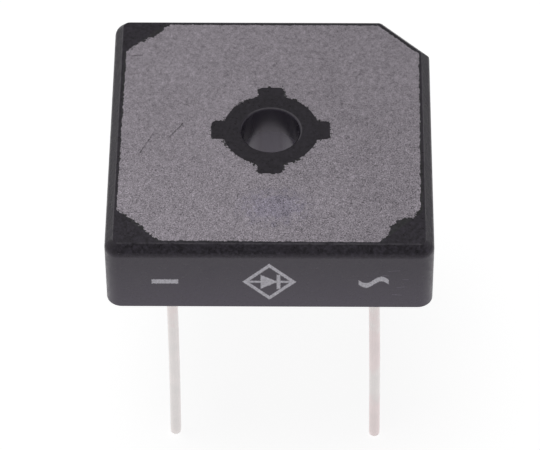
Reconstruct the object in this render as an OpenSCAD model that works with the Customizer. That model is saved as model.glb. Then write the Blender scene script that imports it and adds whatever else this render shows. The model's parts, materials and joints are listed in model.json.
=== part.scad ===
// Single-phase bridge rectifier in a square moulded case.
// A heat spreader lies flush in the top face, one screw hole runs through the
// middle and four wire leads leave the underside.
// Millimetres. The origin is on the axis of the screw hole, at the underside
// of the case, with +Z towards the heat spreader.

/* [Case] */
// Width and depth of the square case
body_w = 28.5; // [27:0.1:34]
// Height of the case from its underside to the heat spreader's face
body_h = 7.4; // [6.4:0.1:12]
// Radius of the three plain vertical corners
corner_r = 1.35; // [1:0.05:2.4]
// Leg of the 45 degree corner that marks the positive lead
polarity_cut = 4.2; // [3:0.1:5.2]
// Radius of the two edges where the marked corner meets the sides
cut_edge_r = 0.6; // [0.4:0.05:1.6]
// Width of the bevel round the top face, measured across the face
bevel_w = 0.75; // [0.3:0.05:0.9]
// Height of the bevel, measured down the side
bevel_h = 0.86; // [0.3:0.02:1.4]
// Radius that eases the bevel's lower edge into the sides
bevel_ease_r = 0.8; // [0.4:0.05:1]
// Diameter of the screw hole
hole_d = 5.2; // [3.6:0.1:6]
// Width of the small edge break at both mouths of the screw hole
hole_edge = 0.12; // [0.05:0.01:0.3]

/* [Heat spreader] */
// Strip of moulding between the spreader and the bevel
spreader_rim = 0.2; // [0.1:0.05:1.5]
// Thickness of the heat spreader
spreader_t = 1.5; // [0.8:0.1:2]
// Thickness of the moulded ring between the screw hole and the spreader
ring_t = 1.65; // [1:0.05:2.4]
// Width of the four lock notches that widen the spreader's opening
notch_w = 2.2; // [1.4:0.05:3]
// How far each lock notch reaches past the ring
notch_reach = 1; // [0.5:0.05:1.6]
// Radius in the corners of a lock notch
notch_r = 0.4; // [0.1:0.05:0.6]

/* [Plates and straps] */
// Moulding between the heat spreader and the plates under it
isolation_t = 0.45; // [0.3:0.05:0.8]
// Thickness of the positive and negative plates
plate_t = 0.5; // [0.3:0.05:0.8]
// Thickness of the two AC straps
strap_t = 0.5; // [0.3:0.05:0.8]
// Width of an arm of an AC strap
strap_w = 4; // [3.2:0.1:5]
// Moulding between the plates and the outside of the case
edge_cover = 3; // [2:0.1:3.6]
// Moulding between the plates and the screw hole
hole_cover = 3.2; // [2.4:0.1:3.6]
// How far an arm runs on past the diode at its end
arm_overrun = 0.5; // [0.2:0.1:1]
// Width of the pad that stays clear round the nail head of a lead
pad_margin = 0.3; // [0.1:0.05:0.6]
// Corner radius of the plates and straps
sheet_r = 0.6; // [0.2:0.05:0.9]
// Diameter of the holes that lock the plates in the moulding
lock_hole_d = 1.2; // [0.6:0.1:1.6]

/* [Diodes] */
// Side of a square diode chip
die_w = 3.8; // [3:0.1:4.4]
// Thickness of a diode chip
die_t = 0.3; // [0.24:0.02:0.5]
// Depth and width of the step etched round a chip's lower side
die_bevel = 0.12; // [0.05:0.01:0.2]
// How far the back diode stands from the middle, towards the left AC lead
back_die_shift = 3.5; // [3:0.1:4.2]
// Thickness of each solder layer
solder_t = 0.1; // [0.06:0.01:0.15]
// Diameter of the embossed contact that a strap holds against a chip
boss_d = 2.6; // [1.6:0.1:2.7]
// Height of the embossed contact
boss_h = 0.15; // [0.05:0.01:0.25]

/* [Leads] */
// Diameter of the wire leads
lead_d = 1; // [0.8:0.05:1.2]
// Length of a lead below the case
lead_length = 24; // [5:0.5:40]
// Distance between neighbouring leads of the square pattern
lead_pitch = 18.1; // [16.4:0.1:19]
// How far the positive lead is moved from its corner of the pattern
positive_shift = 6.7; // [6.2:0.1:7.2]
// Height of the domed tip of a lead
tip_h = 0.34; // [0.1:0.02:0.38]
// Diameter of the nail head that is soldered to a plate or strap
head_d = 2.2; // [1.6:0.1:2.6]
// Thickness of the nail head
head_t = 0.4; // [0.2:0.05:0.6]
// Side of the coined square neck below the nail head
neck_w = 0.9; // [0.75:0.05:1.1]
// How far the round wire reaches into the case before its neck starts
neck_start = 0.1; // [0.05:0.01:0.18]

/* [Ejector marks] */
// Diameter of the round ejector marks in the underside
ejector_d = 2.6; // [1.5:0.1:3.6]
// Depth of the ejector marks
ejector_depth = 0.08; // [0.03:0.01:0.2]

/* [Hidden] */

$fn = 64;
// Extra length that carries a cutting shape clear through a face
through = 1;

// Colours
MOULDING = [0.16, 0.16, 0.17];
NICKEL = [0.53, 0.51, 0.53];
COPPER = [0.72, 0.45, 0.3];
SILICON = [0.3, 0.32, 0.37];
SOLDER = [0.62, 0.63, 0.66];
TINNED = [0.82, 0.82, 0.8];

// Outside of the case
half_w = body_w / 2;
wall_h = body_h - bevel_h;
// Distance of the marked corner's face from the hole axis
cut_distance = (body_w - polarity_cut) * cos(45);
// Centre of the round between the right side and the marked corner
cut_round_x = half_w - cut_edge_r;
cut_round_y = (cut_distance - cut_edge_r) / cos(45) - cut_round_x;
// Facets that round each edge of the marked corner, and the angle between them
CUT_FACETS = 4;
facet_turn = 45 / CUT_FACETS;
// Steps from the wall's direction to the bevel's, the angle of each step, and
// how far the eased edge reaches down the wall
EASE_STEPS = 5;
ease_turn = atan(bevel_w / bevel_h) / EASE_STEPS;
ease_reach = bevel_ease_r * tan(ease_turn * EASE_STEPS / 2);
// Corners between the facets lie a little outside the eased edge's radius
ease_corner_r = bevel_ease_r / cos(ease_turn / 2);
// Flats as outward direction and distance from the hole axis: the five sides,
// and the marked corner's flat with the facets at both of its edges
SIDES = [[0, half_w], [45, cut_distance], [90, half_w], [180, half_w], [270, half_w]];
CUT_FLATS = [for (i = [1 : 2 * CUT_FACETS - 1]) [i * facet_turn, cut_reach(i * facet_turn)]];
// The three plain vertical edges: where each round starts to turn
PLAIN_EDGES = [90, 180, 270];

// Heat spreader: flush with the top, and cut at its corners like the marked one
spreader_bottom = body_h - spreader_t;
spreader_half = half_w - bevel_w - spreader_rim;
spreader_short = (cut_distance - bevel_w - spreader_rim) / cos(45) - spreader_half;
opening_r = hole_d / 2 + ring_t;

// Levels of the stack under the spreader, from the top down
plate_top = spreader_bottom - isolation_t;
plate_bottom = plate_top - plate_t;
die_top = plate_bottom - solder_t;
die_bottom = die_top - die_t;
boss_top = die_bottom - solder_t;
strap_top = boss_top - boss_h;
strap_bottom = strap_top - strap_t;
// Top of the nail heads under a plate and under a strap
plate_head_top = plate_bottom - solder_t;
strap_head_top = strap_bottom - solder_t;

// Edges and middle line of the arms that run round the screw hole
arm_inner = hole_d / 2 + hole_cover;
arm_outer = half_w - edge_cover;
arm_middle = (arm_inner + arm_outer) / 2;
// How far an arm runs past the middle of the diode at its end
arm_end = die_w / 2 + arm_overrun;
strap_inner = arm_middle - strap_w / 2;
strap_outer = arm_middle + strap_w / 2;

// Places of the diodes, seen from above
DIE_BACK = [-back_die_shift, arm_middle];
DIE_RIGHT = [arm_middle, 0];
DIE_LEFT = [-arm_middle, 0];
DIE_FRONT = [0, -arm_middle];

// Places of the leads, seen from above
half_pitch = lead_pitch / 2;
LEAD_POSITIVE = [half_pitch - positive_shift, half_pitch];
LEAD_NEGATIVE = [-half_pitch, -half_pitch];
LEAD_AC_LEFT = [-half_pitch, half_pitch];
LEAD_AC_RIGHT = [half_pitch, -half_pitch];

// Places of the ejector marks, each under a diode
EJECTOR_MARKS = [DIE_LEFT, DIE_RIGHT, DIE_FRONT];

// ---------------------------------------------------------------- outlines

function direction(angle) = [cos(angle), sin(angle)];

// Distance of a facet of the marked corner, which is the same from both sides
function cut_reach(angle) =
    cut_edge_r + [cut_round_x, cut_round_y] * direction(min(angle, 90 - angle));

// Rectangle with rounded corners, between its low and its high corner
module soft_rectangle(low, high, radius) {
    size = high - low;
    translate(low + [radius, 0]) square([size.x - 2 * radius, size.y]);
    translate(low + [0, radius]) square([size.x, size.y - 2 * radius]);
    for (x = [low.x + radius, high.x - radius])
        for (y = [low.y + radius, high.y - radius])
            translate([x, y]) circle(r = radius);
}

// Square with rounded corners, without what lies past the marked corner
module case_outline() {
    difference() {
        soft_rectangle([-half_w, -half_w], [half_w, half_w], corner_r);
        for (side = CUT_FLATS)
            rotate(side[0]) translate([side[1], -body_w]) square(2 * body_w);
    }
}

// -------------------------------------------------------------------- case

// Corner between two facets of the eased edge, the wall's own corner being 0
function ease_corner(i) = [
    ease_corner_r * cos((i + 0.5) * ease_turn) - bevel_ease_r,
    ease_corner_r * sin((i + 0.5) * ease_turn) - ease_reach
];

// Section of what the bevel takes away, measured from the wall and from where
// the bevel would meet it. The lowest facet is drawn out past the wall.
module bevel_section() {
    past_wall = ease_corner(0) + through * [sin(ease_turn), -cos(ease_turn)];
    polygon(concat(
        [[-bevel_w, bevel_h], [-bevel_w, bevel_h + through], [through, bevel_h + through]],
        [[through, past_wall[1]], past_wall],
        [for (i = [1 : EASE_STEPS - 1]) ease_corner(i)]
    ));
}

// Bevel along a side, drawn out past both ends
module side_bevel(side) {
    rotate([0, 0, side[0]])
        translate([side[1], body_w, 0])
            rotate([90, 0, 0]) linear_extrude(2 * body_w) bevel_section();
}

// Bevel round a plain vertical edge, where it is part of a cone
module round_bevel(start) {
    centre = half_w - corner_r;
    rotate([0, 0, start])
        translate([centre, centre, 0])
            rotate_extrude(angle = 90) translate([corner_r, 0]) bevel_section();
}

// Straight walls with a bevel round the top
module case_form() {
    difference() {
        linear_extrude(body_h) case_outline();
        translate([0, 0, wall_h]) {
            for (side = SIDES)
                side_bevel(side);
            for (start = PLAIN_EDGES)
                round_bevel(start);
        }
    }
}

module screw_hole() {
    hole_r = hole_d / 2;
    flare = through + hole_edge;
    translate([0, 0, -through]) {
        cylinder(h = body_h + 2 * through, r = hole_r);
        cylinder(h = flare, r1 = hole_r + flare, r2 = hole_r);
    }
    translate([0, 0, body_h - hole_edge]) cylinder(h = flare, r1 = hole_r, r2 = hole_r + flare);
}

module ejector_marks() {
    for (place = EJECTOR_MARKS)
        translate([place.x, place.y, -through]) cylinder(h = through + ejector_depth, d = ejector_d);
}

// The moulding fills everything round the pieces that it holds
module case() {
    color(MOULDING) difference() {
        case_form();
        screw_hole();
        ejector_marks();
        heat_spreader();
        positive_plate();
        negative_plate();
        ac_strap_left();
        ac_strap_right();
        for (place = [DIE_BACK, DIE_RIGHT, DIE_LEFT, DIE_FRONT]) {
            diode(place);
            solder_top(place);
            solder_bottom(place);
        }
        for (place = [LEAD_POSITIVE, LEAD_NEGATIVE]) {
            lead(place, plate_head_top);
            lead_solder(place, plate_head_top);
        }
        for (place = [LEAD_AC_LEFT, LEAD_AC_RIGHT]) {
            lead(place, strap_head_top);
            lead_solder(place, strap_head_top);
        }
    }
}

// ----------------------------------------------------------- heat spreader

// Square with all four corners cut
module spreader_outline() {
    a = spreader_half;
    b = spreader_short;
    polygon([[a, b], [b, a], [-b, a], [-a, b], [-a, -b], [-b, -a], [b, -a], [a, -b]]);
}

module heat_spreader() {
    color(NICKEL) translate([0, 0, spreader_bottom]) linear_extrude(spreader_t) difference() {
        spreader_outline();
        circle(r = opening_r);
        for (turn = [0 : 90 : 270])
            rotate(turn)
                soft_rectangle([0, -notch_w / 2], [opening_r + notch_reach, notch_w / 2], notch_r);
    }
}

// ------------------------------------------------------- plates and straps

// Sheet of two arms, each from its low to its high corner, and a lead's pad
module angle_sheet(arms, lead_place) {
    pad_reach = (head_d / 2 + pad_margin) * [1, 1];
    for (arm = arms)
        soft_rectangle(arm[0], arm[1], sheet_r);
    soft_rectangle(lead_place - pad_reach, lead_place + pad_reach, sheet_r);
}

module lock_holes(places) {
    for (place = places)
        translate(place) circle(d = lock_hole_d);
}

// Joins the back and right diodes to the positive lead
module positive_plate() {
    color(COPPER) translate([0, 0, plate_bottom]) linear_extrude(plate_t) difference() {
        angle_sheet([
            [[DIE_BACK.x - arm_end, arm_inner], [arm_outer, arm_outer]],
            [[arm_inner, -arm_end], [arm_outer, arm_outer]]
        ], LEAD_POSITIVE);
        rotate(45) translate([cut_distance - edge_cover, -half_w]) square(body_w);
        lock_holes([[arm_inner, arm_middle], [arm_middle, arm_inner]]);
    }
}

// Joins the left and front diodes to the negative lead
module negative_plate() {
    color(COPPER) translate([0, 0, plate_bottom]) linear_extrude(plate_t) difference() {
        angle_sheet([
            [[-arm_outer, -arm_outer], [-arm_inner, arm_end]],
            [[-arm_outer, -arm_outer], [arm_end, -arm_inner]]
        ], LEAD_NEGATIVE);
        lock_holes([[-arm_inner, -arm_middle], [-arm_middle, -arm_inner]]);
    }
}

// Strap with a contact embossed towards each of its diodes
module ac_strap(arms, lead_place, dies) {
    color(COPPER) difference() {
        union() {
            translate([0, 0, strap_bottom]) linear_extrude(strap_t) angle_sheet(arms, lead_place);
            for (die = dies)
                translate([die.x, die.y, strap_top - strap_t / 2])
                    cylinder(h = strap_t / 2 + boss_h, d = boss_d);
        }
        for (die = dies)
            translate([die.x, die.y, strap_bottom - through])
                cylinder(h = through + boss_h, d = boss_d - strap_t);
    }
}

module ac_strap_left() {
    ac_strap([
        [[-strap_outer, -arm_end], [-strap_inner, strap_outer]],
        [[-strap_outer, strap_inner], [DIE_BACK.x + arm_end, strap_outer]]
    ], LEAD_AC_LEFT, [DIE_LEFT, DIE_BACK]);
}

module ac_strap_right() {
    ac_strap([
        [[strap_inner, -strap_outer], [strap_outer, arm_end]],
        [[-arm_end, -strap_outer], [strap_outer, -strap_inner]]
    ], LEAD_AC_RIGHT, [DIE_RIGHT, DIE_FRONT]);
}

// ------------------------------------------------------------------ diodes

// Chip with a stepped lower side
module diode(place) {
    foot_w = die_w - 2 * die_bevel;
    color(SILICON) translate([place.x, place.y, die_bottom]) {
        translate([-foot_w / 2, -foot_w / 2, 0]) cube([foot_w, foot_w, die_t]);
        translate([-die_w / 2, -die_w / 2, die_bevel]) cube([die_w, die_w, die_t - die_bevel]);
    }
}

module diode_back() { diode(DIE_BACK); }
module diode_right() { diode(DIE_RIGHT); }
module diode_left() { diode(DIE_LEFT); }
module diode_front() { diode(DIE_FRONT); }

// Solder over the whole upper side of a chip
module solder_top(place) {
    color(SOLDER) translate([place.x - die_w / 2, place.y - die_w / 2, die_top])
        cube([die_w, die_w, solder_t]);
}

module solder_back_top() { solder_top(DIE_BACK); }
module solder_right_top() { solder_top(DIE_RIGHT); }
module solder_left_top() { solder_top(DIE_LEFT); }
module solder_front_top() { solder_top(DIE_FRONT); }

// Solder between a chip and the embossed contact below it
module solder_bottom(place) {
    color(SOLDER) translate([place.x, place.y, boss_top]) cylinder(h = solder_t, d = boss_d);
}

module solder_back_bottom() { solder_bottom(DIE_BACK); }
module solder_right_bottom() { solder_bottom(DIE_RIGHT); }
module solder_left_bottom() { solder_bottom(DIE_LEFT); }
module solder_front_bottom() { solder_bottom(DIE_FRONT); }

// ------------------------------------------------------------------- leads

// Domed end of a wire, standing on its tip
module domed_tip() {
    lead_r = lead_d / 2;
    dome_r = (lead_r * lead_r + tip_h * tip_h) / (2 * tip_h);
    intersection() {
        translate([0, 0, dome_r]) sphere(r = dome_r);
        translate([-lead_d, -lead_d, 0]) cube([2 * lead_d, 2 * lead_d, tip_h]);
    }
}

// Wire with a domed tip, a coined square neck and a nail head
module lead(place, head_top) {
    straight = lead_length - tip_h;
    head_bottom = head_top - head_t;
    color(TINNED) translate([place.x, place.y, 0]) {
        translate([0, 0, -lead_length]) domed_tip();
        translate([0, 0, -straight]) cylinder(h = straight + neck_start, d = lead_d);
        translate([-neck_w / 2, -neck_w / 2, neck_start]) cube([neck_w, neck_w, head_bottom - neck_start]);
        translate([0, 0, head_bottom]) cylinder(h = head_t, d = head_d);
    }
}

module lead_positive() { lead(LEAD_POSITIVE, plate_head_top); }
module lead_negative() { lead(LEAD_NEGATIVE, plate_head_top); }
module lead_ac_left() { lead(LEAD_AC_LEFT, strap_head_top); }
module lead_ac_right() { lead(LEAD_AC_RIGHT, strap_head_top); }

// Solder between a nail head and the plate or strap above it
module lead_solder(place, head_top) {
    color(SOLDER) translate([place.x, place.y, head_top]) cylinder(h = solder_t, d = head_d);
}

module lead_solder_positive() { lead_solder(LEAD_POSITIVE, plate_head_top); }
module lead_solder_negative() { lead_solder(LEAD_NEGATIVE, plate_head_top); }
module lead_solder_ac_left() { lead_solder(LEAD_AC_LEFT, strap_head_top); }
module lead_solder_ac_right() { lead_solder(LEAD_AC_RIGHT, strap_head_top); }

case();
heat_spreader();
positive_plate();
negative_plate();
ac_strap_left();
ac_strap_right();
diode_back();
diode_right();
diode_left();
diode_front();
solder_back_top();
solder_right_top();
solder_left_top();
solder_front_top();
solder_back_bottom();
solder_right_bottom();
solder_left_bottom();
solder_front_bottom();
lead_positive();
lead_negative();
lead_ac_left();
lead_ac_right();
lead_solder_positive();
lead_solder_negative();
lead_solder_ac_left();
lead_solder_ac_right();
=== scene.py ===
import json
import math

import bpy
from mathutils import Matrix, Vector


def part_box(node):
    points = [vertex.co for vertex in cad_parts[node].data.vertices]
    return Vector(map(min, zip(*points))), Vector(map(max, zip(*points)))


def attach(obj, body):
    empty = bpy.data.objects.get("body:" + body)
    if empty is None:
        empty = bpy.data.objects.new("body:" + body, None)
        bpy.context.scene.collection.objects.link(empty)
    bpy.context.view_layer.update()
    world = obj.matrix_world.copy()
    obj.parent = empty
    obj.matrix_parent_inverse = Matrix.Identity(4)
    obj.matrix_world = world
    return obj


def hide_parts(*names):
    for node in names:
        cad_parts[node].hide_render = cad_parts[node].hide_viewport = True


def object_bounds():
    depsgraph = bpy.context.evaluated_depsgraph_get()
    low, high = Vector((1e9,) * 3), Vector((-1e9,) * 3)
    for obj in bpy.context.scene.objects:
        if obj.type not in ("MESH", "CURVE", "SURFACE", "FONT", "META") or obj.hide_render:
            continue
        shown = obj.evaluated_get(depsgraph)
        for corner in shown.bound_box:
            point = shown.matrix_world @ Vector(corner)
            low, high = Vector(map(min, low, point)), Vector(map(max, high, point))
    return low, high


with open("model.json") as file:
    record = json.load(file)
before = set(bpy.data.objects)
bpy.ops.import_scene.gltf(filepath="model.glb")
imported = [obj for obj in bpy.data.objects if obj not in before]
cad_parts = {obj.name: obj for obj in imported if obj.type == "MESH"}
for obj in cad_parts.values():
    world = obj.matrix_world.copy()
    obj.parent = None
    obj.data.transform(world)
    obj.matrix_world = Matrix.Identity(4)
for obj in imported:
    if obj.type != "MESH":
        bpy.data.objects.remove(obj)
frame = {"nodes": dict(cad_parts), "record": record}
CAD_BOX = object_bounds()
MM = 0.001

# ------------------------------------------------------------------ measures
# In millimetres, as in the formulas of the materials. The overall ones are taken from the frame.

case_low, case_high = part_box("case")
lead_low, lead_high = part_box("lead_ac_right")
HALF = case_high.x / MM                             # from the hole axis to a side
TOP = case_high.z / MM                              # the heat-sink face
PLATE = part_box("heat_spreader")[1].x / MM           # from the hole axis to a side of the plate
LEAD_X = (lead_low.x + lead_high.x) / 2 / MM        # from the hole axis to the front leads
LEAD_LENGTH = (case_low.z - lead_low.z) / MM        # below the case

BEVEL_W, BEVEL_H = 0.75, 0.86                       # the bevel round the top
POLARITY_CUT = 4.2                                  # the marked corner, along a side
CUT = (2 * HALF - POLARITY_CUT) * math.sqrt(0.5)    # from the hole axis to that corner's face
PLATE_CUT = CUT - (HALF - PLATE)                    # all the plate's corners are cut alike
HOLE_R, HOLE_EDGE = 2.6, 0.12                       # the screw hole and its eased mouth
PIN_JOINT = 4.5                                     # where the two pins that formed the hole met
OPENING_R = 4.25                                    # the opening in the plate
NOTCH_END, NOTCH_HALF, NOTCH_R = 5.25, 1.1, 0.4     # the opening's four notches
LEAD_R, TIP_H = 0.5, 0.34                           # a lead's wire and its domed tip
NECK_HALF, NECK_START, HEAD_T = 0.45, 0.1, 0.4      # its square neck and its nail head


# ----------------------------------------------------------- formulas as nodes

class Number:
    """A number that a node tree works out for each point of a surface."""

    def __init__(self, nodes, socket):
        self.nodes = nodes
        self.socket = socket

    def __add__(self, other):
        return self.nodes.math("ADD", self, other)

    def __sub__(self, other):
        return self.nodes.math("SUBTRACT", self, other)

    def __rsub__(self, other):
        return self.nodes.math("SUBTRACT", other, self)

    def __mul__(self, other):
        return self.nodes.math("MULTIPLY", self, other)

    def __truediv__(self, other):
        return self.nodes.math("DIVIDE", self, other)

    def __neg__(self):
        return self.nodes.math("MULTIPLY", self, -1)

    def __abs__(self):
        return self.nodes.math("ABSOLUTE", self)

    __radd__ = __add__
    __rmul__ = __mul__


class Nodes:
    """The node tree of a material or of the world, written as formulas."""

    def __init__(self, owner):
        owner.use_nodes = True
        self.tree = owner.node_tree
        self.tree.nodes.clear()

    def add(self, kind, inputs=None, **settings):
        """A node with its settings and with its inputs, by name or place."""
        node = self.tree.nodes.new("ShaderNode" + kind)
        for name, value in settings.items():
            setattr(node, name, value)
        for name, value in (inputs or {}).items():
            self.feed(node.inputs[name], value)
        return node

    def feed(self, socket, value):
        if isinstance(value, Number):
            value = value.socket
        if isinstance(value, bpy.types.NodeSocket):
            self.tree.links.new(value, socket)
        else:
            socket.default_value = value

    def math(self, operation, *values):
        node = self.add("Math", dict(enumerate(values)), operation=operation)
        return Number(self, node.outputs[0])

    def apart(self, vector):
        """The three numbers in a vector or colour."""
        node = self.add("SeparateXYZ", {0: vector})
        return [Number(self, socket) for socket in node.outputs]

    def largest(self, first, *others):
        for other in others:
            first = self.math("MAXIMUM", first, other)
        return first

    def smallest(self, first, *others):
        for other in others:
            first = self.math("MINIMUM", first, other)
        return first

    def mixed(self, first, second, factor):
        return first + (second - first) * factor

    def ranged(self, value, low, high, first, last, curve="SMOOTHSTEP"):
        """From first, where the value is below low, to last, where it is above high."""
        node = self.add("MapRange", {"Value": value, "From Min": low, "From Max": high,
                                     "To Min": first, "To Max": last}, interpolation_type=curve)
        return Number(self, node.outputs["Result"])

    def step(self, value, low, high):
        """0 below low and 1 above high, smooth between them."""
        return self.ranged(value, low, high, 0.0, 1.0)


class Paint(Nodes):
    """A material whose formulas use the point's place in millimetres."""

    def __init__(self, name):
        self.material = bpy.data.materials.new(name)
        super().__init__(self.material)
        metres = self.add("TexCoord").outputs["Object"]
        self.place = self.add("VectorMath", {0: metres, "Scale": 1 / MM}, operation="SCALE").outputs[0]
        self.x, self.y, self.z = self.apart(self.place)

    def reach(self, x, y):
        return self.math("SQRT", x * x + y * y)

    def from_axis(self):
        return self.reach(self.x, self.y)

    def inside(self, distance, soft=0.03):
        """1 where a distance is below 0."""
        return 1 - self.step(distance, -soft, soft)

    def near(self, x, y, radius):
        """1 at a place on the plate, fading to 0 at a radius."""
        return 1 - self.step(self.reach(self.x - x, self.y - y), radius * 0.15, radius)

    def dash(self, x, y, dx, dy, half_width):
        """1 along a short stroke on the plate, about its middle."""
        length = math.hypot(dx, dy)
        along = ((self.x - x) * dx + (self.y - y) * dy) / length
        across = ((self.x - x) * dy - (self.y - y) * dx) / length
        return self.inside(self.largest(abs(across) - half_width, abs(along) - length / 2), 0.05)

    def stretched(self, scale, turn=0):
        """The place, turned round the hole axis by degrees and then scaled."""
        turned = self.add("Mapping", {0: self.place, "Rotation": (0, 0, math.radians(turn))})
        return self.add("Mapping", {0: turned.outputs[0], "Scale": scale}).outputs[0]

    def noise(self, scale, detail=2, rough=0.5, seed=0, place=None):
        """Cloudy variation about 0, mostly within +-0.2; scale is in cycles per millimetre."""
        node = self.add("TexNoise", {"Vector": place or self.place, "W": seed, "Scale": scale,
                                     "Detail": detail, "Roughness": rough}, noise_dimensions="4D")
        return Number(self, node.outputs["Fac"]) - 0.5

    def cells(self, scale, seed):
        """Distance to the nearest of scattered points, and a number from 0 to 1 for each point."""
        node = self.add("TexVoronoi", {"Vector": self.place, "W": seed, "Scale": scale},
                        voronoi_dimensions="4D")
        return Number(self, node.outputs["Distance"]), self.apart(node.outputs["Color"])[0]

    def specks(self, scale, seed, radius, soft, rare):
        """1 on round specks at some of the scattered points, the fewer the nearer rare is to 1."""
        distance, kind = self.cells(scale, seed)
        return self.inside(distance - radius, soft) * self.step(kind, *rare)

    def grazing(self):
        """0 where the surface faces the viewer and 1 where it turns edge-on; the wire uses it for a painted
        sheen.
        """
        return Number(self, self.add("LayerWeight", {"Blend": 0.5}).outputs["Facing"])

    def colour(self, red, green, blue):
        return self.add("CombineColor", {0: red, 1: green, 2: blue}).outputs[0]

    def tint(self, rgb, factor):
        """A colour made lighter or darker by a factor."""
        return self.colour(*(factor * c for c in rgb))

    def blend(self, first, second, factor):
        return self.add("Mix", {"Factor": factor, 6: first, 7: second}, data_type="RGBA").outputs[2]

    def finish(self, colour, roughness, relief, metallic=0.0, ior=1.5, shine=(1, 1, 1, 1)):
        """The shader itself; the relief is in millimetres."""
        bump = self.add("Bump", {"Distance": MM, "Height": relief})
        shader = self.add("BsdfPrincipled", {
            "Base Color": colour, "Roughness": roughness, "Metallic": metallic, "IOR": ior,
            "Specular Tint": shine, "Normal": bump.outputs[0]})
        self.add("OutputMaterial", {0: shader.outputs[0]})
        return self.material


# ------------------------------------------------------------------- moulding

MOULDING = (0.0140, 0.0122, 0.0172)
MOULDING_SHINE = (0.95, 0.87, 1.0, 1.0)
MOULDING_IOR = 1.66
# Pale colour for the painted highlights on the eased edges and for the dust in the corners
EDGE_HIGHLIGHT_AND_DUST = (0.1, 0.095, 0.105, 1)
INK = (0.70, 0.68, 0.74)
SYMBOL_R = 2.1                                      # the printed rectifier symbol
FRONT_SCRATCHES = (                                 # x, z, slope and half length
    (10.8, 4.7, 0.1, 0.5), (10.1, 4.1, -0.12, 0.3), (11.4, 2.6, 0.15, 0.35),
    (11.8, 3.6, 0.05, 0.25), (11.1, 1.6, -0.1, 0.4))


def bare_moulding(p):
    """Colour factor, roughness and relief of black moulding."""
    grain = p.noise(10, 3, 0.6)
    mottle = p.noise(4.2, 2, 0.6, 2.5)
    clouds = p.noise(0.35, 3, 0.55, 4.0)
    pale = p.specks(2.8, 2.0, 0.1, 0.06, rare=(0.9, 0.95))
    tone = p.largest(1 + grain * 2.0 + mottle * 7.0 + clouds * 0.8, 0.3) + pale * 2.0
    rough = 0.4 + grain * 0.3 + mottle * 0.6 + clouds * 0.15
    relief = grain * 0.014 + mottle * 0.042
    return tone, rough, relief


def near_hole(p, at_hole, further_out):
    """A colour factor that changes away from the screw hole."""
    return p.mixed(at_hole, further_out, p.step(p.from_axis(), 5, 9))


def edge_highlights_and_dust(p):
    """How pale the moulding is painted, 0 to 1: a painted highlight along the top edge of the bevel and on
    the back and right of the hole's mouth, where the eased edges catch the light, and real dust in the
    corners.
    """
    patchy = p.step(p.noise(0.8, 3, 0.6, 9.0), -0.22, 0.06)
    side = p.largest(abs(p.x), abs(p.y), (p.x + p.y) * math.sqrt(0.5) + (HALF - CUT))
    # Painted highlight: a broken pale line along the top edge of the bevel
    on_line = p.inside(abs(side - (HALF - BEVEL_W) - 0.02) - 0.06, 0.06)
    top_edge = on_line * p.step(p.z, TOP - 0.1, TOP - 0.04) * patchy

    # Painted highlight: a pale arc on the hole's mouth, towards the back and the right
    on_arc = p.inside(abs(p.from_axis() - (HOLE_R + HOLE_EDGE)) - 0.05, 0.06)
    back_right = p.step(p.x * 0.8 + p.y + p.noise(1.2, 2, 0.5, 3.0) * 3, 0.2, 1.6)
    mouth = on_arc * p.step(p.z, TOP - 0.2, TOP - 0.1) * back_right

    dust = p.specks(3.4, 8.0, 0.16, 0.1, rare=(0.7, 0.8)) * p.step(p.from_axis(), 17.4, 18.6)
    return p.largest(top_edge * 0.6, mouth, dust * 0.6)


def front_scratches(p):
    """1 along fine scratches on the right of the front side."""
    distances = []
    for x, z, slope, half in FRONT_SCRATCHES:
        off_line = abs(p.z - z - (p.x - x) * slope) - 0.03
        distances.append(p.largest(off_line, abs(p.x - x) - half))
    return p.inside(p.smallest(*distances), 0.05)


def printed_signs(p):
    """1 on the ink of the front side: a rectifier symbol between minus and AC, above their leads."""
    u = p.x
    v = p.z - (TOP - BEVEL_H) / 2
    square = abs(abs(u) + abs(v) - SYMBOL_R) - 0.24
    lead = p.largest(abs(v) - 0.13, abs(u) - SYMBOL_R)
    arrow = p.largest(-0.75 - u, abs(v) - (0.72 - u) * 0.62)
    bar = p.largest(abs(u - 0.8) - 0.16, abs(v) - 0.92)
    minus = p.largest(abs(u + LEAD_X) - 1.15, abs(v) - 0.27)
    wave_u = u - LEAD_X
    wave_v = p.math("SINE", wave_u * 2.35) * 0.42
    wave = p.largest(abs(v - wave_v) - 0.3, abs(wave_u) - 1.3)
    ragged = p.noise(8, 3, 0.6, 12.0) * 0.3
    return p.inside(p.smallest(square, lead, arrow, bar, minus, wave) + ragged, 0.05)


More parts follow.
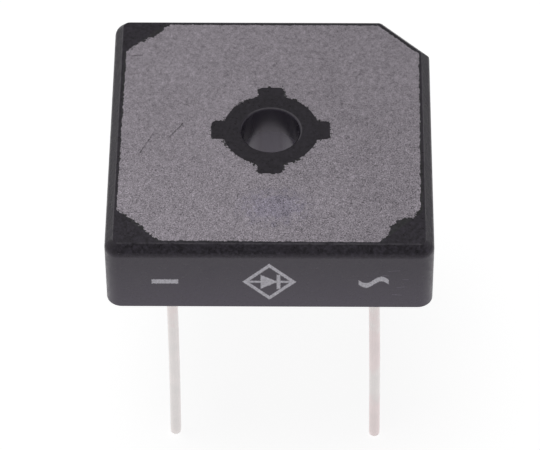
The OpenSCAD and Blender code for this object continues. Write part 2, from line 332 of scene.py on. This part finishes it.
def moulding():
    p = Paint("moulded_epoxy")
    tone, rough, relief = bare_moulding(p)

    # The sides are smoother than the top, and paler towards the underside
    on_top = p.step(p.z, TOP - BEVEL_H - 0.5, TOP - BEVEL_H + 0.1)
    tone = p.mixed(1 + (tone - 1) * 0.35, tone * 0.75, on_top)
    tone = tone * (1 + (1 - p.step(p.z, -1, TOP - BEVEL_H)) * 2.2)
    relief = relief * p.mixed(0.3, 1, on_top)

    # The screw hole is smooth, and each of the two pins that formed it left its own gloss; its wall is also
    # painted paler, most of all below the pin joint, as a painted reflection of the white floor through the
    # hole's lower opening
    tone = tone * near_hole(p, 0.5, 1)
    in_hole = p.inside(p.from_axis() - (HOLE_R + HOLE_EDGE / 2))
    upper_pin = p.step(p.z, PIN_JOINT - 0.05, PIN_JOINT + 0.05)
    rough = p.mixed(rough, p.mixed(0.24, 0.21, upper_pin), in_hole)
    # Painted reflection: the wall's colour is made 6.5 times paler below the pin joint and 2.4 times above
    # it
    tone = p.mixed(tone, p.mixed(6.5, 2.4, upper_pin), in_hole)
    relief = relief * (1 - in_hole * 0.9)

    on_front = 1 - p.step(p.y, -HALF + 0.02, -HALF + 0.03)
    scratch = front_scratches(p) * on_front
    ink = printed_signs(p) * on_front
    ink_tone = 1 + p.noise(5, 3, 0.7, 5.0) * 1.4
    # The pale mix is painted highlight on the eased edges, together with real dust in the corners
    colour = p.blend(p.tint(MOULDING, tone * (1 + scratch * 3)), EDGE_HIGHLIGHT_AND_DUST, edge_highlights_and_dust(p))
    colour = p.blend(colour, p.tint(INK, ink_tone), ink)
    rough = p.mixed(rough, 0.62, ink)
    relief = relief + ink * 0.004 - scratch * 0.01
    return p.finish(colour, rough, relief, ior=MOULDING_IOR, shine=MOULDING_SHINE)


# -------------------------------------------------------------- heat spreader

NICKEL = (0.476, 0.436, 0.483)
BLUISH = (0.455, 0.42, 0.53)
PLATE_SCRATCHES = (                                 # middle x, y, run x, y, half width and strength
    (-8.35, -0.05, 1.2, 1.7, 0.05, 1.0), (-10.9, -1.6, 1.15, 2.5, 0.055, 0.8),
    (-12.1, 9.25, 1.0, 0.1, 0.09, 0.7))
PLATE_PITS = ((-7.85, 0.46, 0.5), (-8.97, -0.89, 0.4), (6.3, 3.25, 0.6))    # x, y and strength
PIT_R = 0.26
FLASH_BLOBS = (                                     # x, y, radius and reach of thicker flash
    (11.0, -11.0, 2.1, 0.6), (-10.2, 12.1, 2.4, 0.3), (-11.6, -11.4, 2.0, 0.15))


def handling_rubs(p):
    """Faint parallel scratches in two directions, each where a coarse noise lets them."""
    rubs = 0
    for scale, turn, seed, patch_scale, patch_seed in (
            ((0.5, 9, 1), 38, 15.0, 0.5, 17.0), ((0.6, 8, 1), -52, 16.0, 0.6, 18.0)):
        lines = p.step(p.noise(1.0, 2, 0.6, seed, p.stretched(scale, turn)), 0.1, 0.2)
        rubs = lines * p.step(p.noise(patch_scale, 2, 0.5, patch_seed), 0, 0.12) + rubs
    return rubs


def handling_marks(p):
    """Single scratches and pits, from 0 to 1."""
    scratches = [p.dash(*stroke) * strength for *stroke, strength in PLATE_SCRATCHES]
    pits = [p.near(x, y, PIT_R) * strength for x, y, strength in PLATE_PITS]
    return p.largest(*scratches, *pits)


def notch_distance(p, along, across):
    """Distance from two opposite notches, whose corners are rounded."""
    past_end = p.largest(along - (NOTCH_END - NOTCH_R), 0)
    past_side = p.largest(across - (NOTCH_HALF - NOTCH_R), 0)
    return p.reach(past_end, past_side) - NOTCH_R


def crept_flash(p):
    """1 where thin flash of moulding crept over the edges of the plate, a little askew."""
    ax, ay = abs(p.x), abs(p.y)
    creep = p.noise(3.3, 3, 0.7, 13.0) * 1.1 + p.noise(1.2, 2, 0.6, 11.0) * 0.7
    sides = p.largest(abs(p.x - p.y * 0.01), p.y) - PLATE
    front = -p.y - p.x * 0.008 - PLATE

    # The marked corner stayed cleaner than the others
    corners = (ax + ay) * math.sqrt(0.5) - PLATE_CUT
    corner_creep = creep * p.mixed(1.1, 0.4, p.step(p.x + p.y, 8, 12))
    for x, y, radius, reach in FLASH_BLOBS:
        corner_creep = corner_creep + p.near(x, y, radius) * reach

    notches = p.smallest(notch_distance(p, ax, ay), notch_distance(p, ay, ax))
    opening = p.math("SMOOTH_MIN", p.from_axis() - OPENING_R, notches, 1.0)
    return p.largest(
        p.inside(-sides - 0.12 - creep * 0.35, 0.04),
        p.inside(-front - 0.03 - creep * 0.4, 0.04),
        p.inside(-corners - 0.12 - corner_creep, 0.04),
        p.inside(opening - 0.03 - creep * 1.1, 0.04))


def spreader():
    p = Paint("dull_nickel")
    grit = p.noise(8, 2, 0.7, 1.0)
    blasted = p.noise(16, 2, 0.6, 3.0)
    clouds = p.noise(0.22, 3, 0.5, 6.0)
    smears = p.noise(1.6, 3, 0.6, 8.0)
    flecks = p.noise(3.6, 2, 0.6, 21.0)
    dark_spots = p.specks(1.3, 5.0, 0.14, 0.08, rare=(0.75, 0.85))
    glints = p.specks(4.5, 7.0, 0.2, 0.16, rare=(0.7, 0.8))
    marks = handling_marks(p)

    # The grain is finer and stronger towards the front edge, and the metal is painted slightly paler
    # towards the left and the back, as painted light from the lamp's side
    strength = p.mixed(0.55, 1.2, 1 - p.step(p.y, -8, 10))
    tone = 1 + (grit * 2.2 + blasted * 2.2) * strength + flecks * (1.5 - strength * 0.75)
    # Painted light: the last two terms make the plate paler towards the left and the back
    tone = tone + clouds * 0.3 + smears * 0.5 + handling_rubs(p) * 0.12 - p.x * 0.005 + p.y * 0.002
    tone = tone - dark_spots * 0.22 - marks * 0.6 + glints * 0.5 * strength
    metal = p.tint(NICKEL, p.largest(tone, 0.2))

    # A faint bluish stain in front of the hole
    stain_r = p.reach((p.x - 0.4) / 3.6, (p.y + 9.2) / 2.3) + smears * 2
    metal = p.blend(metal, p.tint(BLUISH, tone), (1 - p.step(stain_r, 0.3, 1.1)) * 0.6)

    flash = crept_flash(p)
    black_tone, black_rough, black_relief = bare_moulding(p)
    black = p.tint(MOULDING, black_tone * near_hole(p, 0.4, 0.75))
    rough = p.mixed(0.5 + grit * 0.5, black_rough, flash)
    relief = grit * 0.015 + blasted * 0.008 - (dark_spots + marks) * 0.006
    relief = p.mixed(relief, black_relief + 0.01, flash)
    return p.finish(p.blend(metal, black, flash), rough, relief, metallic=1 - flash, ior=MOULDING_IOR)


# ------------------------------------------------------------ other materials

def wire():
    p = Paint("matte_tin")
    drawn = p.noise(1.0, 3, 0.6, 2.0, p.stretched((9, 9, 0.35)))
    patches = p.noise(0.45, 3, 0.6, 4.0)
    grain = p.noise(14, 2, 0.6, 6.0)
    painted_sheen = p.grazing()
    tone = 0.93 + drawn * 0.2 + patches * 0.15 + grain * 0.16
    # Painted sheen: the tin is painted paler where its surface turns away from the viewer, standing in for
    # the white surroundings it reflects there
    tone = tone * (1 + painted_sheen * painted_sheen * 0.47)
    tarnish = p.step(p.noise(0.25, 3, 0.6, 9.0) + p.x * 0.01, 0.02, 0.16)
    red = tone * (0.78 + patches * 0.05)
    green = tone * (0.745 - tarnish * 0.05)
    blue = tone * (0.735 - tarnish * 0.045)
    rough = 0.44 + drawn * 0.2 + grain * 0.1
    return p.finish(p.colour(red, green, blue), rough, drawn * 0.006 + grain * 0.003, metallic=0.85)


def copper():
    p = Paint("bare_copper")
    rolled = p.noise(1.0, 3, 0.6, 1.0, p.stretched((0.4, 6, 6)))
    oxide = p.step(p.noise(0.5, 3, 0.6, 3.0), -0.05, 0.3)
    fresh = p.tint((0.76, 0.42, 0.28), 1 + rolled * 0.2)
    dull = p.tint((0.42, 0.22, 0.15), 1 + rolled * 0.2)
    rough = 0.34 + oxide * 0.2 + rolled * 0.1
    return p.finish(p.blend(fresh, dull, oxide * 0.6), rough, rolled * 0.004, metallic=1.0)


def silicon():
    p = Paint("silicon_chip")
    haze = p.noise(0.9, 2, 0.5, 2.0)
    colour = p.tint((0.16, 0.18, 0.24), 1 + haze * 0.3)
    return p.finish(colour, 0.16 + haze * 0.1, haze * 0.001, metallic=0.6)


def solder():
    p = Paint("dull_solder")
    frost, _ = p.cells(2.5, 3.0)
    grain = p.noise(6, 3, 0.6, 5.0)
    colour = p.tint((0.5, 0.51, 0.54), 1 + grain * 0.3 - frost * 0.1)
    return p.finish(colour, 0.42 + grain * 0.2, frost * 0.01, metallic=1.0)


MATERIALS = {
    "moulding": moulding(), "spreader_metal": spreader(), "tinned_wire": wire(),
    "copper": copper(), "silicon": silicon(), "solder": solder(),
}
for part in frame["record"]["subparts"]:
    for slot in frame["nodes"][part["node"]].material_slots:
        slot.material = MATERIALS[part["material_slot"]]


# --------------------------------------------------------------------- leads

SIDES, TIP_STEPS, SHANK_STEPS = 32, 8, 46
KNEE_DEPTH = 5.0                                    # the wire turns within this depth below the case


def lean(knee, swing_x, swing_y, bow):
    """Sideways shift of a wire at a height: a knee just below the case, then a slant and a slight bow."""
    def shift(z):
        depth = max(-z, 0.0)
        turn = min(depth / KNEE_DEPTH, 1.0)
        turn = turn * turn * (3 - 2 * turn)
        down = depth / LEAD_LENGTH
        return turn * (knee + swing_x * down + bow * math.sin(math.pi * down)), turn * swing_y * down
    return shift


def wire_rings(low, head_z, high, head_r):
    """Height, radius and squareness of each ring of a wire, from its tip up."""
    dome_r = (LEAD_R ** 2 + TIP_H ** 2) / (2 * TIP_H)
    rings = []
    for i in range(1, TIP_STEPS + 1):
        rise = TIP_H * (i / TIP_STEPS) ** 2
        rings.append((low + rise, math.sqrt(dome_r ** 2 - (dome_r - rise) ** 2), False))
    shank = NECK_START - low - TIP_H
    for i in range(1, SHANK_STEPS + 1):
        rings.append((low + TIP_H + shank * i / SHANK_STEPS, LEAD_R, False))
    rings += [(NECK_START, NECK_HALF, True), (head_z, NECK_HALF, True)]
    rings += [(head_z, head_r, False), (high, head_r, False)]
    return rings


def bent_wire(node, shift):
    """The whole wire of a CAD lead: tip, shank, square neck and nail head. It leans as handled wires do."""
    low, high = (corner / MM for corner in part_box(node))
    x, y = (low.x + high.x) / 2, (low.y + high.y) / 2
    rings = wire_rings(low.z, high.z - HEAD_T, high.z, (high.x - low.x) / 2)
    points = [(*shift(low.z), low.z)]
    for z, radius, square in rings:
        dx, dy = shift(z)
        for k in range(SIDES):
            angle = 2 * math.pi * k / SIDES
            c, s = math.cos(angle), math.sin(angle)
            reach = radius / max(abs(c), abs(s)) if square else radius
            points.append((dx + reach * c, dy + reach * s, z))

    def corner(ring, k):
        return 1 + ring * SIDES + k % SIDES

    faces = [(0, corner(0, k + 1), corner(0, k)) for k in range(SIDES)]
    for ring in range(len(rings) - 1):
        faces += [(corner(ring, k), corner(ring, k + 1), corner(ring + 1, k + 1), corner(ring + 1, k))
                  for k in range(SIDES)]
    faces.append([corner(len(rings) - 1, k) for k in range(SIDES)])

    mesh = bpy.data.meshes.new("wire_" + node)
    mesh.from_pydata([((x + px) * MM, (y + py) * MM, pz * MM) for px, py, pz in points], [], faces)
    mesh.polygons.foreach_set("use_smooth", [True] * len(mesh.polygons))
    mesh.set_sharp_from_angle(angle=math.radians(40))
    mesh.materials.append(MATERIALS["tinned_wire"])
    obj = bpy.data.objects.new("wire_" + node, mesh)
    bpy.context.scene.collection.objects.link(obj)
    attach(obj, "root")
    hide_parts(node)


bent_wire("lead_negative", lean(knee=0.24, swing_x=-0.07, swing_y=0.2, bow=0.07))
bent_wire("lead_ac_right", lean(knee=0.1, swing_x=0.42, swing_y=0.05, bow=0.06))
bent_wire("lead_ac_left", lean(knee=0.08, swing_x=-0.25, swing_y=0.2, bow=-0.06))
bent_wire("lead_positive", lean(knee=-0.1, swing_x=0.22, swing_y=-0.15, bow=0.05))


# -------------------------------------------------------------------- camera

# Angles, distance and roll follow from the straight edges of the body. Lengths are in metres from here on.

AZIMUTH, ELEVATION, ROLL = (math.radians(angle) for angle in (0.83, 46.22, -0.42))
DISTANCE = 0.3293                                   # from the middle of the heat-sink face
AIM_RIGHT, AIM_UP = -0.00034927, -0.02549704        # slopes from that middle to the picture's middle
SENSOR, LENS = 36, 248.1333                         # in millimetres, as Blender has them


def add_camera():
    back = Vector((math.sin(AZIMUTH) * math.cos(ELEVATION),
                   -math.cos(AZIMUTH) * math.cos(ELEVATION), math.sin(ELEVATION)))
    right = (-back).cross(Vector((0, 0, 1))).normalized()
    up = right.cross(-back)
    forward = (-back + right * AIM_RIGHT + up * AIM_UP).normalized()
    right = forward.cross(Vector((0, 0, 1))).normalized()
    up = right.cross(forward)
    c, s = math.cos(ROLL), math.sin(ROLL)
    right, up = right * c + up * s, up * c - right * s
    eye = back * DISTANCE + Vector((0, 0, TOP * MM))
    data = bpy.data.cameras.new("camera")
    data.sensor_width = SENSOR
    data.lens = LENS
    data.clip_start = 0.01
    data.clip_end = 20
    camera = bpy.data.objects.new("camera", data)
    bpy.context.scene.collection.objects.link(camera)
    camera.matrix_world = Matrix((
        (right.x, up.x, -forward.x, eye.x),
        (right.y, up.y, -forward.y, eye.y),
        (right.z, up.z, -forward.z, eye.z),
        (0, 0, 0, 1)))
    bpy.context.scene.camera = camera


add_camera()


# ------------------------------------------------------------ floor and light

FLOOR_R, FLOOR_SIDES = 1.5, 96
FLOOR_SEEN = 0.87                                   # strength of its white as the camera sees it
LAMP_PLACE = Vector((-0.06, -0.02, 0.42))           # overhead, a little to the left
LAMP_SIZE, LAMP_POWER = 0.30, 0.56
WALLS_NEAR, WALLS_FAR = 0.9, 0.5                    # on the camera's side and opposite
CEILING, DIM_PATCH = 0.36, 0.55


def white_paper():
    """Lamps light it as paper, and it is seen white with only a faint shadow.
    Gloss sees it whitest near the object and greyer towards the walls."""
    material = bpy.data.materials.new("white_sweep")
    n = Nodes(material)

    def paper(shade):
        return n.add("BsdfDiffuse", {"Color": (shade, shade, shade, 1)}).outputs[0]

    def glow(strength):
        return n.add("Emission", {"Strength": strength}).outputs[0]

    def both(first, second):
        return n.add("AddShader", {0: first, 1: second}).outputs[0]

    def either(factor, first, second):
        return n.add("MixShader", {0: factor, 1: first, 2: second}).outputs[0]

    place = n.add("TexCoord").outputs["Object"]
    away = n.add("VectorMath", {0: place}, operation="LENGTH").outputs["Value"]
    shine = n.ranged(away, 0.05, 0.3, 0.73, 0.15, "LINEAR")
    shine = shine + n.ranged(away, 0.034, 0.05, 0.15, 0.0, "LINEAR")
    rays = n.add("LightPath").outputs
    mirrored = n.largest(rays["Is Glossy Ray"], rays["Is Transmission Ray"])
    lit = either(mirrored, paper(0.8), both(paper(0.3), glow(shine)))

    # From below, the underside of the object is seen through it
    from_below = n.add("NewGeometry").outputs["Backfacing"]
    seen = either(from_below, both(paper(0.3), glow(FLOOR_SEEN)), n.add("BsdfTransparent").outputs[0])
    n.add("OutputMaterial", {0: either(rays["Is Camera Ray"], lit, seen)})
    return material


def add_floor():
    ring = []
    for i in range(FLOOR_SIDES):
        angle = 2 * math.pi * i / FLOOR_SIDES
        ring.append((FLOOR_R * math.cos(angle), FLOOR_R * math.sin(angle), 0))
    mesh = bpy.data.meshes.new("floor")
    mesh.from_pydata(ring, [], [list(range(FLOOR_SIDES))])
    mesh.materials.append(white_paper())
    floor = bpy.data.objects.new("floor", mesh)
    floor.location.z = CAD_BOX[0].z
    bpy.context.scene.collection.objects.link(floor)


def add_softbox():
    """One large soft lamp that shines at the origin."""
    data = bpy.data.lights.new("light_overhead", "AREA")
    data.shape = "DISK"
    data.size = LAMP_SIZE
    data.energy = LAMP_POWER
    lamp = bpy.data.objects.new("light_overhead", data)
    lamp.location = LAMP_PLACE
    lamp.rotation_euler = LAMP_PLACE.to_track_quat("Z", "Y").to_euler()
    bpy.context.scene.collection.objects.link(lamp)


def add_room():
    """Walls that are brightest on the camera's side, a dimmer ceiling, and a dim patch high up
    behind the camera, which itself sees only white."""
    world = bpy.data.worlds.new("room")
    bpy.context.scene.world = world
    n = Nodes(world)
    _, y, z = n.apart(n.add("TexCoord").outputs["Generated"])
    walls = n.ranged(y, -0.2, 0.6, WALLS_NEAR, WALLS_FAR)
    level = n.mixed(walls, CEILING, n.step(z, 0.1, 0.6))
    behind = n.ranged(y, -0.7, 0.0, 1.0, 0.0) * n.step(z, 0.2, 0.5)
    level = level * (1 - behind * DIM_PATCH)
    strength = n.largest(level, n.add("LightPath").outputs["Is Camera Ray"])
    n.add("OutputWorld", {0: n.add("Background", {"Strength": strength}).outputs[0]})


add_floor()
add_softbox()
add_room()
bpy.context.scene.view_settings.view_transform = "Standard"
